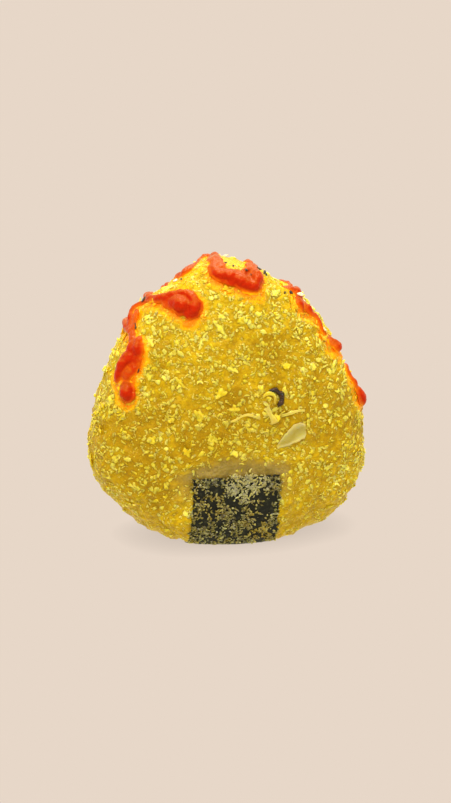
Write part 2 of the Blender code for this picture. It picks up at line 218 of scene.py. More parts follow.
# Thin films of sauce between the strands, as stops like theirs.
FILMS = {
    "left_band": ((133.5, 12.5, 2.2), (137, 13.8, 2.7), (141, 14.6, 2.7), (145, 15, 2.6), (148.5, 15, 2.0)),
    "left_edge": ((127, 1, 1.8), (131, 5, 1.8), (134, 9, 1.8)),
    "curl": ((117, 9.5, 2.0), (113.5, 13.5, 3.1), (110.5, 15.5, 2.9), (112, 18, 2.6)),
    "top_left": ((103, 1, 1.3), (107.5, 4, 1.5), (111, 0, 1.3)),
    "top": ((98.2, 12, 2.3), (93, 13.2, 2.5), (88, 14, 2.7)),
    "top_arm": ((96.8, -3, 1.9), (97.2, 1.5, 2.1), (98, 7, 2.3), (98.2, 11, 2.4)),
    "top_hook": ((87, 12, 2.2), (87.4, 8.5, 1.8), (85.5, 4.5, 1.6), (84, 0, 1.2)),
    "right": ((74, 9.5, 1.8), (70, 10, 2.0), (66, 12, 1.8), (60, 12.5, 1.4), (54, 14, 1.5), (47, 14, 2.2)),
    "right_low": ((28, 14, 1.0), (24, 14, 1.1), (20.5, 13.5, 1.2)),
}
SAUCE_STEP = 0.6 * MM
SAUCE_RISE = 0.15
SAUCE_TAPER = (0.7, -1, 3)
SAUCE_WOBBLE = ((3.2 * MM, 0.28, 1.0), (1.3 * MM, 0.18, 1.0))
SAUCE_VOXEL = 0.28 * MM
SAUCE_SMOOTHINGS = 3
SAUCE_ROUGHNESS = ((1.9 * MM, 0.28 * MM, 2.0), (0.9 * MM, 0.1 * MM, 2.0))
SAUCE_SKIRT = (1.45, 0.27)
SAUCE_DEEP = 1.9 * MM
FILM_FLATNESS = 0.34
FILM_SHARE = 0.85
STAIN_REACH = (-0.4 * MM, 3.0 * MM)
STAIN_SINK = 1.3 * MM
STAIN_RAGGED = ((2.2 * MM, 0.8 * MM, 5.0),)
ROWS_AT_ONCE = 3000

# Places by heading and latitude, with the radius of a patch or the length of a piece in millimetres.
# A patch fades between these shares of its radius.
SPOT_FADE = (0.6, 1.3)
YELLOW_SPOTS = ((92.0, -2.0, 4.4), (92.5, 4.0, 4.6))
TOASTED_SPOTS = (
    (75, 29, 5), (83, 31, 5), (190, 27, 7), (205, 30, 5), (105, 48, 4),
)
BARE_SPOTS = (
    (281, 50, 3.6), (283, 43, 3.0), (224, 51, 2.0), (233, 45, 2.2),
)
CREAM_SPOT = (264, 66.5, 6.5)
CHAR_FLECKS = (
    (83.5, 6.0, 2.8), (82.5, 9.5, 2.4), (130.5, 6.0, 2.6), (122.5, 1.0, 2.0), (75.5, 14.0, 1.1),
    (72.5, 11.5, 1.9), (95.0, 8.0, 0.9), (93.0, 9.5, 0.8), (141.5, 17.5, 1.3), (89.5, 12.5, 1.1),
    (88.0, 13.0, 0.9), (109.5, 8.5, 0.9),
)
SAUCE_CRUMBS = (
    (69.0, 11.0, 2.2), (66.0, 10.5, 2.0), (62.0, 9.5, 2.2), (55.0, 15.0, 1.5), (111.0, 5.0, 2.2),
    (95.0, -3.0, 2.6), (93.0, -3.0, 2.4),
)
BIT_SHAPES = 8
BIT_TINT = 0.8
BIT_TIP = 0.2
BIT_LIFT = 0.1 * MM
BIT_OVER_SAUCE = 0.2 * MM

# Larger single pieces, as stops of heading, latitude, half width and lift in millimetres.
LEAF_FLAKE = (
    (12.5, 66.8, 0.3, 0.3), (15.5, 63, 1.05, 0.4), (18.3, 59, 1.65, 0.5), (20.6, 55, 2.2, 0.5),
    (21.8, 51.2, 2.5, 0.5), (21.9, 48, 2.3, 0.5), (21.2, 46, 1.5, 0.4),
)
PALE_SHRED = (
    (72, 53.6, 1.05, 0.8), (70, 54.4, 0.85, 0.8), (66.5, 56, 0.6, 0.9), (61.5, 57.8, 0.6, 0.9),
    (57, 59, 0.85, 0.8), (54, 60, 1.1, 0.7),
)
PALE_CURL = (
    (78, 48.4, 0.2, 0.5), (75.5, 46.6, 0.35, 0.9), (72, 46, 0.4, 1.1), (68.5, 46.6, 0.4, 1.0),
    (66, 48.4, 0.4, 0.8), (65, 50.5, 0.35, 0.6),
)
DARK_CURL = (
    (73, 44.2, 0.2, 0.7), (71, 43.7, 0.35, 1.0), (68, 43.4, 0.6, 1.4), (65, 43.9, 0.45, 1.0),
    (62, 45, 0.85, 1.5), (60.2, 46.8, 0.65, 1.1), (59.6, 48.6, 0.85, 1.4), (61, 50.4, 0.35, 0.8),
)
WAVY_SHRED = (
    (119, 58.6, 0.15, 0.4), (112, 59.4, 0.25, 0.6), (104, 58.6, 0.15, 0.3), (94, 58.4, 0.3, 0.7),
    (84, 59.8, 0.2, 0.5), (75, 60.4, 0.2, 0.4),
)
SIDE_SHRED = (
    (51, 53, 0.4, 0.4), (47.5, 51.2, 0.3, 0.7), (44, 48.4, 0.4, 0.6), (40.5, 45.4, 0.2, 0.6),
    (36.5, 42.5, 0.25, 0.4),
)

# Each single piece's thickness, how far it cups as a share of its half width, its tint in the middle
# and at the rim, and its stops. Their rims are ragged by a layer of noise.
RIBBONS = {
    "leaf_flake": (0.35 * MM, 0.08, (0.35, 1.0), LEAF_FLAKE),
    "pale_shred": (0.4 * MM, -0.4, (0.6, 1.0), PALE_SHRED),
    "pale_curl": (0.3 * MM, -0.5, (0.2, 0.7), PALE_CURL),
    "wavy_shred": (0.3 * MM, -0.4, (0.6, 1.0), WAVY_SHRED),
    "side_shred": (0.3 * MM, -0.4, (0.7, 1.0), SIDE_SHRED),
    "dark_curl": (0.4 * MM, -1.1, (0.0, 0.0), DARK_CURL),
}
RIBBON_COLUMNS = 8
RIBBON_RAGGED = ((1.1 * MM, 0.25, 0.0),)

# The stage and the view. Lights have a place, a size, a power and a colour.
BACKDROP = (231, 215, 200)
# The floor's painted contact shadow: how dark it gets and how far it reaches.
CONTACT_SHADE = 0.8
CONTACT_REACH = 9 * MM
FLOOR_RADIUS = 3.9
DOME_RADIUS = 4.0
WORLD_COLOUR = (1.0, 0.94, 0.62, 1.0)
WORLD_STRENGTH = 1.08
LIGHTS = {
    "key": ((-0.17, -0.33, 0.66), 0.34, 3.05, (1.0, 0.99, 0.96)),
    "glint": ((-0.1, -0.42, 0.5), 0.05, 1.0, (1.0, 1.0, 0.98)),
    "top": ((0.12, 0.18, 0.72), 0.4, 3.8, (1.0, 0.99, 0.96)),
}
LIGHTS_AIM = (0, 0, 0.04)
VIEW_TURN = math.radians(-12)
VIEW_RISE = math.radians(15)
VIEW_DISTANCE = 0.45
VIEW_AIM = (-0.0009, 0, 0.041)
LENS = 66.6
SENSOR_WIDTH = 36


def colour(red, green, blue):
    """A colour given in the eye's 0 to 255, as the light that a shader takes."""
    linear = [((part / 255 + 0.055) / 1.055) ** 2.4 for part in (red, green, blue)]
    return (*linear, 1.0)


def unit(vectors):
    return vectors / np.linalg.norm(vectors, axis=-1, keepdims=True)


def smooth_step(values, low, high):
    share = np.clip((values - low) / (high - low), 0, 1)
    return share * share * (3 - 2 * share)


def eased(values, least, low, high):
    """Shares that rise smoothly from least at low to 1 at high."""
    return least + (1 - least) * smooth_step(values, low, high)


def noise_at(points, spacing, shift=0.0):
    """Smooth noise from about -1 to 1 at each point, with features a spacing apart."""
    return np.array([noise.noise(Vector(point)) for point in points / spacing + shift])


def layered(points, layers):
    """The sum of layers of noise at each point."""
    return sum(noise_at(points, spacing, shift) * size for spacing, size, shift in layers)


def directions_of(places):
    """Unit directions from the centre for rows that start with a heading and a latitude."""
    turn, tilt = np.radians(np.array(places, float)[:, :2]).T
    flat = np.cos(tilt)
    return np.stack([flat * np.cos(turn), -np.sin(tilt), flat * np.sin(turn)], axis=1)


def form(offsets):
    """1 for offsets from the centre that end on the even form, and less inside it."""
    pull = 0.0
    for facing, reach in SIDES:
        turn = math.radians(facing)
        towards = (offsets[:, 0] * math.cos(turn) + offsets[:, 2] * math.sin(turn)) / reach
        pull = pull + np.maximum(0, towards) ** OUTLINE_ROUNDING
    outline = pull ** (FACE_ROUNDING / OUTLINE_ROUNDING)
    face = np.abs(offsets[:, 1] / HALF_DEPTH) ** FACE_ROUNDING
    return (outline + face) ** (1 / FACE_ROUNDING)


def swell(directions):
    """Height of the named swellings and hollows in each direction."""
    height = 0.0
    for heading, latitude, spread, most in SWELLS:
        along = directions @ directions_of([(heading, latitude)])[0]
        away = np.degrees(np.arccos(np.clip(along, -1, 1)))
        height = height + most * MM * np.exp(-((away / spread) ** 2))
    return height


def even_points(directions):
    """Points of the ball before its relief."""
    return CENTRE + directions * (1 / form(directions) + swell(directions))[:, None]


def on_crust(directions, lift=0.0, detail=False):
    """Points of the batter's surface, raised by lift; detail adds its grain and the strip's bed."""
    even = even_points(directions)
    height = layered(even, LUMPS)
    if detail:
        smooth = np.maximum(halo(even), yellow(even))
        height = height + layered(even, GRAINS) * (1 - GRAIN_FADE * smooth)
        bed = under_strip(even)
        height = height * (1 - bed) - CRUST_UNDER_STRIP * bed
    points = even + directions * (height + lift)[:, None]
    points[:, 2] = np.maximum(points[:, 2], 0)
    return points


def outward(directions):
    """The even form's outward normals, from the slope of form()."""
    step = 1e-4
    slope = [form(directions + axis * step) - form(directions - axis * step) for axis in np.eye(3)]
    return unit(np.stack(slope, axis=1))


def from_strip(points):
    """Distances past the strip's sides and above its top edge; both are negative on the strip."""
    return np.abs(points[:, 0] - STRIP_MIDDLE) - STRIP_WIDTH / 2, points[:, 2] - STRIP_TOP


def under_strip(points):
    beside, above = from_strip(points)
    return smooth_step(-beside, *UNDER_STRIP_EDGE) * smooth_step(-above, *UNDER_STRIP_EDGE)


def halo(points):
    """1 on the smooth tan batter round the strip's top edge, fading to 0 away from it."""
    beside, above = from_strip(points)
    left = points[:, 0] < STRIP_MIDDLE
    arch = HALO_ARCH * smooth_step(np.abs(points[:, 0] - STRIP_MIDDLE), *HALO_ARCH_SPAN)
    beside = np.maximum(beside, 0) * np.where(left, *HALO_SIDES)
    away = np.hypot(beside, np.maximum(above, 0)) + layered(points, HALO_WANDER) + arch
    low = smooth_step(above, *HALO_LOW_FADE) * eased(above, *HALO_EDGE_FADE)
    return (1 - smooth_step(away, *HALO_REACH)) * low


def near_spot(points, heading, latitude, radius):
    place = even_points(directions_of([(heading, latitude)]))[0]
    away = np.linalg.norm(points - place, axis=1)
    inner, outer = SPOT_FADE
    return 1 - smooth_step(away, radius * MM * inner, radius * MM * outer)


def yellow(points):
    """1 on the smooth yellow patch between two strands of sauce."""
    return np.maximum.reduce([near_spot(points, *spot) for spot in YELLOW_SPOTS])


def toast_and_painted_shade(points):
    """How far the crust has browned, from 0 to 1, with a band of painted shade at one height added in."""
    browned_and_shaded = TOAST + layered(points, TOAST_PATCHES)
    for spot in TOASTED_SPOTS:
        browned_and_shaded = browned_and_shaded + TOAST_IN_SPOTS * near_spot(points, *spot)
    # Painted shade: a band at one height, darker as if less lit.
    middle, spread, most = PAINTED_SHADE_BAND
    return np.clip(browned_and_shaded + most * np.exp(-(((points[:, 2] - middle) / spread) ** 2)), 0, 1)


def smooth_route(stops):
    """Rows read from a smooth curve through the stops, about SAUCE_STEP apart."""
    stops = np.array(stops, float)
    ends = np.concatenate([stops[:1], stops, stops[-1:]])
    points = even_points(directions_of(stops))
    route = []
    for index in range(len(stops) - 1):
        before, start, end, after = ends[index : index + 4]
        count = max(2, round(np.linalg.norm(points[index + 1] - points[index]) / SAUCE_STEP))
        for t in np.arange(count) / count:
            cubic = 2 * before - 5 * start + 4 * end - after + t * (3 * (start - end) + after - before)
            route.append(start + 0.5 * t * (end - before + t * cubic))
    return np.array([*route, stops[-1]])


def sauce_beads(strands):
    """Directions and radii of the beads that strands of sauce are made of."""
    routes = []
    for stops in strands.values():
        route = smooth_route(stops)
        from_end = np.minimum(np.arange(len(route)), np.arange(len(route))[::-1])
        route[:, 2] *= eased(from_end, *SAUCE_TAPER)
        routes.append(route)
    route = np.concatenate(routes)
    directions = directions_of(route)
    return directions, route[:, 2] * MM * (1 + layered(even_points(directions), SAUCE_WOBBLE))


BEAD_DIRECTIONS, BEAD_RADII = sauce_beads(DRIZZLE)
BEAD_CENTRES = on_crust(BEAD_DIRECTIONS, BEAD_RADII * SAUCE_RISE)
FILM_DIRECTIONS, FILM_RADII = sauce_beads(FILMS)
FILM_CENTRES = on_crust(FILM_DIRECTIONS)


def from_sauce(points):
    """Distance from each point to the nearest bead of sauce; negative inside one."""
    centres = np.concatenate([BEAD_CENTRES, FILM_CENTRES])
    radii = np.concatenate([BEAD_RADII, FILM_RADII * FILM_SHARE])
    nearest = []
    for start in range(0, len(points), ROWS_AT_ONCE):
        away = np.linalg.norm(points[start : start + ROWS_AT_ONCE, None] - centres, axis=2) - radii
        nearest.append(away.min(axis=1))
    return np.concatenate(nearest)


def stain(points):
    """How far sauce has soaked the crust, from 0 to 1."""
    away = from_sauce(points + np.array([0, 0, STAIN_SINK])) + layered(points, STAIN_RAGGED)
    return 1 - smooth_step(away, *STAIN_REACH)


def object_of(name, mesh):
    """Makes an object from a mesh, shaded smooth."""
    mesh.polygons.foreach_set("use_smooth", [True] * len(mesh.polygons))
    made = bpy.data.objects.new(name, mesh)
    bpy.context.scene.collection.objects.link(made)
    return made


def object_from(name, bm):
    """Makes an object from a bmesh and frees the bmesh."""
    bmesh.ops.recalc_face_normals(bm, faces=bm.faces[:])
    mesh = bpy.data.meshes.new(name)
    bm.to_mesh(mesh)
    bm.free()
    return object_of(name, mesh)


def vertex_rows(mesh, kind):
    rows = np.empty(len(mesh.vertices) * 3)
    mesh.vertices.foreach_get(kind, rows)
    return rows.reshape(-1, 3)


def rims_sorted(bm, first):
    """Sorts the faces that join the first vertices to the others, since they come in any order."""
    bm.verts.index_update()
    bm.faces.index_update()

    def rank(face):
        numbers = [vert.index for vert in face.verts]
        if min(numbers) < first <= max(numbers):
            return len(bm.faces) + sum(numbers) + (max(numbers) - min(numbers)) / len(bm.verts)
        return face.index

    bm.faces.sort(key=rank)


def points_of(mesh):
    return vertex_rows(mesh, "co")


def normals_of(mesh):
    return vertex_rows(mesh, "normal")


def move_points(mesh, points):
    mesh.vertices.foreach_set("co", points.ravel())
    mesh.update()


def mark(mesh, name, values):
    """Stores a value for each vertex, which the materials read."""
    mesh.attributes.new(name, "FLOAT", "POINT").data.foreach_set("value", values)


def finish_piece(piece, material, node):
    """Gives a piece its material and its place in the part, where it stands for a node."""
    piece.data.materials.clear()
    piece.data.materials.append(material)
    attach(piece, "root")
    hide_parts(node)


class Value:
    """A number in a material's node tree that Python's operators work on."""

    def __init__(self, finish, socket):
        self.finish = finish
        self.socket = socket

    def maths(self, operation, first, second):
        node = self.finish.add("ShaderNodeMath", {"operation": operation}, {0: first, 1: second})
        return Value(self.finish, node.outputs[0])

    def __add__(self, other):
        return self.maths("ADD", self, other)

    __radd__ = __add__

    def __sub__(self, other):
        return self.maths("SUBTRACT", self, other)

    def __rsub__(self, other):
        return self.maths("SUBTRACT", other, self)

    def __mul__(self, other):
        return self.maths("MULTIPLY", self, other)

    __rmul__ = __mul__

    def stepped(self, low, high):
        """0 below low, 1 above high, and smooth between."""
        sockets = {"Value": self, "From Min": low, "From Max": high}
        node = self.finish.add("ShaderNodeMapRange", {"interpolation_type": "SMOOTHSTEP"}, sockets)
        return Value(self.finish, node.outputs["Result"])


class Finish:
    """A procedural material, whose nodes read the piece's own place and attributes."""

    def __init__(self, name, constants):
        self.material = bpy.data.materials.new(name)
        self.material.use_nodes = True
        self.tree = self.material.node_tree
        self.shader = self.tree.nodes["Principled BSDF"]
        self.place = self.add("ShaderNodeTexCoord").outputs["Object"]
        for socket, value in constants.items():
            self.shader.inputs[socket].default_value = value

    def add(self, kind, settings=None, sockets=None):
        """Adds a node, sets its settings, and gives its sockets values or links."""
        node = self.tree.nodes.new(kind)
        for name, value in (settings or {}).items():
            setattr(node, name, value)
        for name, value in (sockets or {}).items():
            self.give(node.inputs[name], value)
        return node

    def give(self, socket, value):
        if isinstance(value, Value):
            value = value.socket
        if isinstance(value, bpy.types.NodeSocket):
            self.tree.links.new(value, socket)
        else:
            socket.default_value = value

    def feed(self, name, value):
        self.give(self.shader.inputs[name], value)

    def attribute(self, name):
        return Value(self, self.add("ShaderNodeAttribute", {"attribute_name": name}).outputs["Fac"])

    def noise(self, spacing, detail=3.0):
        sockets = {"Vector": self.place, "Scale": 1 / spacing, "Detail": detail, "Roughness": 0.55}
        return Value(self, self.add("ShaderNodeTexNoise", {}, sockets).outputs["Fac"])

    def cells(self, spacing):
        sockets = {"Vector": self.place, "Scale": 1 / spacing}
        return Value(self, self.add("ShaderNodeTexVoronoi", {}, sockets).outputs["Distance"])

    def blend(self, share, first, second):
        """The first colour where share is 0 and the second where it is 1, each linked or 0 to 255."""
        first, second = [colour(*shade) if isinstance(shade, tuple) else shade for shade in (first, second)]
        node = self.add("ShaderNodeMix", {"data_type": "RGBA"}, {0: share, 6: first, 7: second})
        return node.outputs[2]

    def bump(self, height, depth):
        node = self.add("ShaderNodeBump", {}, {"Height": height, "Distance": depth, "Strength": 1.0})
        self.feed("Normal", node.outputs["Normal"])


# Colours, each part from 0 to 255.
GOLD, PALE_GOLD = (176, 140, 4), (210, 173, 14)
# Toasted gold, which also colours the painted shade band.
TOAST_AND_SHADE_GOLD = (158, 118, 0)
TAN, PALE_TAN = (128, 109, 58), (156, 133, 77)
SOAKED_EDGE, SOAKED = (248, 172, 4), (238, 116, 2)
SMOOTH_YELLOW = (236, 164, 0)
CRUMB_SHADES = {
    "bread_crumb": ((238, 188, 14), (255, 230, 102)),
    "leaf_flake_crumb": ((252, 216, 52), (255, 238, 122)),
    "pale_shred_crumb": ((236, 200, 40), (255, 234, 104)),
    "sauce_crumb": ((240, 206, 120), (255, 240, 190)),
    "strip_crumb": ((46, 45, 37), (188, 178, 132)),
}
TOAST_AND_SHADE_CRUMB = (216, 168, 10)
SOAKED_CRUMB = (250, 158, 6)
THIN_SAUCE, THICK_SAUCE = (210, 98, 2), (174, 26, 0)
# The sauce's painted light colour where it faces up.
PAINTED_LIGHT_SAUCE = (162, 64, 4)
SAUCE_RIM = (238, 160, 8)
SEAWEED, PALE_SEAWEED = (5, 5, 4), (16, 16, 12)
SEAWEED_BATTER = (70, 68, 48)

# Two colours, the spacing that they wander by, and the least roughness.
BURNT = {
    "burnt_curl": ((4, 3, 3), (72, 40, 22), 0.45 * MM, 0.05),
    "burnt_fleck": ((10, 8, 6), (46, 34, 22), 0.6 * MM, 0.25),
}

# What stays the same all over a finish.
FRIED = {
    "IOR": 1.45,
    "Specular IOR Level": 0.4,
    "Specular Tint": (1.0, 0.86, 0.3, 1.0),
    "Subsurface Weight": 0.7,
    "Subsurface Scale": 2.2 * MM,
    "Subsurface Radius": (1.0, 0.8, 0.1),
}
SAUCY = {
    "IOR": 1.45,
    "Specular IOR Level": 0.32,
    "Specular Tint": (1.0, 0.52, 0.16, 1.0),
    "Subsurface Weight": 0.12,
    "Subsurface Scale": 1.5 * MM,
    "Subsurface Radius": (1.0, 0.25, 0.02),
}
DRIED = {"IOR": 1.45, "Specular IOR Level": 0.25}


def batter_finish():
    """Golden fried batter, orange where sauce soaks in and tan beside the seaweed."""
    batter = Finish("fried_batter", FRIED)
    mottle = batter.noise(1.6 * MM, 4.0).stepped(0.36, 0.64)
    gold = batter.blend(mottle, GOLD, PALE_GOLD)
    # Toast and the painted shade band darken the gold.
    gold = batter.blend(batter.attribute("toast_and_painted_shade") * 0.8, gold, TOAST_AND_SHADE_GOLD)
    tan = batter.blend(batter.noise(3 * MM).stepped(0.35, 0.65), TAN, PALE_TAN)
    gold = batter.blend(batter.attribute("halo") * 0.92, gold, tan)
    soaked = batter.attribute("stain")
    gold = batter.blend(soaked.stepped(0.0, 0.5) * 0.9, gold, SOAKED_EDGE)
    gold = batter.blend(soaked.stepped(0.4, 1.0) * 0.9, gold, SOAKED)
    gold = batter.blend(batter.attribute("yellow"), gold, SMOOTH_YELLOW)
    batter.feed("Base Color", gold)
    batter.feed("Roughness", 0.16 + 0.4 * batter.noise(0.9 * MM))
    batter.bump(batter.noise(0.6 * MM) + 0.8 * batter.cells(1.1 * MM), 0.3 * MM)
    return batter.material


def crumb_finish(name):
    """Fried bread crumbs, each in its own tint between the finish's dark and pale."""
    crumb = Finish(name, FRIED)
    dark, pale = CRUMB_SHADES[name]
    tint = (crumb.attribute("tint") + 0.5 * (crumb.noise(0.6 * MM) - 0.5)).stepped(-0.1, 1.1)
    shade = crumb.blend(tint, dark, pale)
    # Crumbs take the toast and the painted shade band of the crust under them.
    shade = crumb.blend(crumb.attribute("toast_and_painted_shade") * 0.5, shade, TOAST_AND_SHADE_CRUMB)
    shade = crumb.blend(crumb.attribute("stain").stepped(0.0, 0.75) * 0.85, shade, SOAKED_CRUMB)
    crumb.feed("Base Color", shade)
    crumb.feed("Roughness", 0.1 + 0.4 * crumb.noise(0.7 * MM))
    crumb.bump(crumb.noise(0.4 * MM), 0.05 * MM)
    return crumb.material


def sauce_finish():
    """Thick red sauce: orange and clear where it is thin, red in its beads, and a painted light colour
    where it faces up.
    """
    sauce = Finish("red_sauce", SAUCY)
    patches = 0.5 * (sauce.noise(1.8 * MM) - 0.5)
    depth = (sauce.attribute("depth") + patches).stepped(0.12, 0.8)
    shade = sauce.blend(depth, THIN_SAUCE, THICK_SAUCE)
    # Painted light: where the sauce faces up it takes another colour, standing in for the light from above.
    painted_light = (sauce.attribute("upward_painted_light") + 1.2 * patches).stepped(0.2, 0.85)
    shade = sauce.blend(painted_light * 0.85, shade, PAINTED_LIGHT_SAUCE)
    rim = (sauce.attribute("depth") + 0.8 * patches).stepped(0.04, 0.25)
    shade = sauce.blend(rim, SAUCE_RIM, shade)
    sauce.feed("Base Color", shade)
    sauce.feed("Roughness", 0.1 + 0.3 * sauce.noise(1.5 * MM))
    sauce.bump(sauce.noise(0.7 * MM, 4.0), 0.2 * MM)
    return sauce.material


def seaweed_finish():
    """Dried seaweed under thin batter: black-green, wrinkled, and greyer where batter sticks."""
    weed = Finish("dried_seaweed", DRIED)
    shade = weed.blend(weed.noise(3 * MM), SEAWEED, PALE_SEAWEED)
    shade = weed.blend(weed.noise(1.4 * MM, 4.0).stepped(0.5, 0.7) * 0.35, shade, SEAWEED_BATTER)
    weed.feed("Base Color", shade)
    weed.feed("Roughness", 0.26 + 0.35 * weed.noise(1.0 * MM))
    weed.bump(weed.noise(0.5 * MM, 4.0), 0.2 * MM)
    return weed.material


def burnt_finish(name):
    """A burnt piece, which wanders between two colours."""
    burnt = Finish(name, {"IOR": 1.45})
    low, high, spacing, roughness = BURNT[name]
    burnt.feed("Base Color", burnt.blend(burnt.noise(spacing).stepped(0.35, 0.65), low, high))
    burnt.feed("Roughness", roughness + 0.2 * burnt.noise(spacing))
    burnt.bump(burnt.noise(spacing / 2), 0.2 * MM)
    return burnt.material


def batter_crust():
    """The ball's batter, with its relief."""
    bm = bmesh.new()
    bmesh.ops.create_cube(bm, size=2.0)
    bmesh.ops.subdivide_edges(bm, edges=bm.edges[:], cuts=CRUST_CUTS, use_grid_fill=True)
    crust = object_from("batter_crust", bm)
    spread = unit(points_of(crust.data)) * (HALF_WIDTH, HALF_DEPTH, HALF_HEIGHT)
    points = on_crust(unit(spread), detail=True)
    move_points(crust.data, points)
    for name, rule in (("toast_and_painted_shade", toast_and_painted_shade), ("halo", halo), ("yellow", yellow), ("stain", stain)):
        mark(crust.data, name, rule(points))
    finish_piece(crust, batter_finish(), "rice_ball")
    return crust


def scattered(mesh, count, draw):
    """Places spread evenly over a mesh by area, and the normals there."""
    points, normals = points_of(mesh), normals_of(mesh)
    mesh.calc_loop_triangles()
    faces = np.empty(len(mesh.loop_triangles) * 3, np.int32)
    mesh.loop_triangles.foreach_get("vertices", faces)
    faces = faces.reshape(-1, 3)
    corners = points[faces]
    areas = np.linalg.norm(np.cross(corners[:, 1] - corners[:, 0], corners[:, 2] - corners[:, 0]), axis=1)
    chosen = draw.choice(len(faces), count, p=areas / areas.sum())
    across, along = draw.random((2, count))
    over = across + along > 1
    across[over], along[over] = 1 - across[over], 1 - along[over]
    shares = np.stack([1 - across - along, across, along], axis=1)[:, :, None]
    return (corners[chosen] * shares).sum(axis=1), unit((normals[faces[chosen]] * shares).sum(axis=1))


def template(bm):
    """A small shape as its points and its triangles, both sorted, since they come in any order."""
    bmesh.ops.triangulate(bm, faces=bm.faces[:])
    bmesh.ops.recalc_face_normals(bm, faces=bm.faces[:])
    bm.verts.sort(key=lambda vert: vert.co.x + vert.co.y * 1.7 + vert.co.z * 2.9)
    bm.verts.index_update()
    points = np.array([vert.co[:] for vert in bm.verts])
    faces = []
    for face in bm.faces:
        numbers = [vert.index for vert in face.verts]
        start = numbers.index(min(numbers))
        faces.append(numbers[start:] + numbers[:start])
    bm.free()
    return points, np.array(sorted(faces))


def seeded(where):
    """Two sources of random draws for the crumbs somewhere: for their shapes and their places."""
    return random.Random(SEEDS[where]), np.random.default_rng(SEEDS[where] + 1)


def grain_shape(draw):
    """A craggy little lump of crumb, about 1 long."""
    bm = bmesh.new()
    bmesh.ops.create_icosphere(bm, subdivisions=1, radius=0.5)
    for vert in bm.verts:
        vert.co *= draw.uniform(0.7, 1.15)
    bmesh.ops.scale(bm, vec=(1.0, 0.78, 0.6), verts=bm.verts[:])
    return template(bm)


def chip_shape(draw):
    """A flat flake of crumb, bent, and torn round its rim."""
    bm = bmesh.new()
    bmesh.ops.create_icosphere(bm, subdivisions=2, radius=0.5)
    shift = Vector((draw.uniform(0, 50), 0, 0))
    bend = draw.uniform(-0.6, 0.6)
    for vert in bm.verts:
        vert.co *= 1 + 0.45 * noise.noise(vert.co * 3.2 + shift)
        vert.co.y *= 0.66
        vert.co.z = 0.3 * vert.co.z + bend * vert.co.x * vert.co.x
        vert.co.z += 0.12 * noise.noise(vert.co * 4.0 + shift)
    return template(bm)


def torn_shape(draw):
    """A large flake of crumb: thin, craggy and torn."""
    bm = bmesh.new()
    bmesh.ops.create_icosphere(bm, subdivisions=3, radius=0.5)
    shift = Vector((draw.uniform(0, 50), 0, 0))
    bend = draw.uniform(-0.5, 0.5)
    for vert in bm.verts:
        flat = Vector((vert.co.x, vert.co.y, 0)) * 3.5
        vert.co *= 1 + 0.7 * noise.noise(flat + shift) + 0.35 * noise.noise(flat * 2.3 + shift)
        vert.co.y *= 0.7
        vert.co.z = 0.2 * vert.co.z + bend * vert.co.x * vert.co.x
        vert.co.z += 0.12 * noise.noise(vert.co * 5 + shift) + 0.08 * noise.noise(vert.co * 11 + shift)
    return template(bm)


def shred_shape(draw, least_curl, most_curl):
    """A thin shred of crumb, bent along an arc and drawn out to its ends."""
    bm = bmesh.new()
    bmesh.ops.create_uvsphere(bm, u_segments=5, v_segments=7, radius=0.5)
    curl = draw.uniform(least_curl, most_curl)
    lift = draw.uniform(-0.15, 0.35)
    wide = draw.uniform(0.28, 0.5)
    shift = Vector((draw.uniform(0, 50), 0, 0))
    for vert in bm.verts:
        along = vert.co.z * 2
        rough = 1 + 0.5 * noise.noise(vert.co * 4 + shift)
        out = vert.co.x * wide * rough
        turn = along * curl
        around = 0.5 / curl - out
        vert.co = Vector((
            around * math.sin(turn),
            0.5 / curl - around * math.cos(turn),
            vert.co.y * 0.24 * rough + lift * along * along * 0.5,
        ))
    return template(bm)


def joined(name, shapes, chosen, frames, places):
    """One mesh of many shapes, each turned to its place, with each vertex's owner and height in it."""
    points, faces, owners, heights, first = [], [], [], [], 0
    for number, (shape, triangles) in enumerate(shapes):
        members = np.flatnonzero(chosen == number)
        laid = shape @ frames[members] + places[members][:, None]
        starts = first + np.arange(len(members)) * len(shape)
        points.append(laid.reshape(-1, 3))
        faces.append((triangles + starts[:, None, None]).reshape(-1, 3))
        owners.append(np.repeat(members, len(shape)))
        heights.append(np.tile(shape[:, 2], len(members)))
        first += len(members) * len(shape)
    points = np.concatenate(points)
    points[:, 2] = np.maximum(points[:, 2], 0)
    mesh = bpy.data.meshes.new(name)
    mesh.from_pydata(points.tolist(), [], np.concatenate(faces).tolist())
    return object_of(name, mesh), np.concatenate(owners), np.concatenate(heights)


def strewn(name, shapes, places, facing, lengths, tints, draw, lift, tip):
    """Small shapes laid on their places, each spun, tipped and given its tint."""
    upright = unit(facing + draw.normal(0, tip, facing.shape))
    along = unit(np.cross(upright, draw.normal(size=facing.shape)))
    flatter = upright * CRUMB_FLATTENING
    frames = np.stack([along, np.cross(upright, along), flatter], axis=1) * lengths[:, None, None]
    chosen = draw.integers(len(shapes), size=len(places))
    piece, owners, heights = joined(name, shapes, chosen, frames, places + facing * lift)
    mark(piece.data, "tint", tints[owners] + TIP_PALENESS * heights)
    mark(piece.data, "toast_and_painted_shade", toast_and_painted_shade(places)[owners])
    mark(piece.data, "stain", stain(places)[owners])
    return piece


def crumb_share(points):
    """The share of crumbs that stay at each place of the batter."""
    beside, above = from_strip(points)
    clear = np.maximum(beside, above) > CRUMB_TO_STRIP
    clumps = np.clip(CRUMB_COVER + layered(points, CRUMB_CLUMPS), CRUMB_LEAST_COVER, 1)
    dry = smooth_step(from_sauce(points), *CRUMB_TO_SAUCE)
    return clear * clumps * dry * (1 - HALO_BARENESS * halo(points)) * (1 - yellow(points))


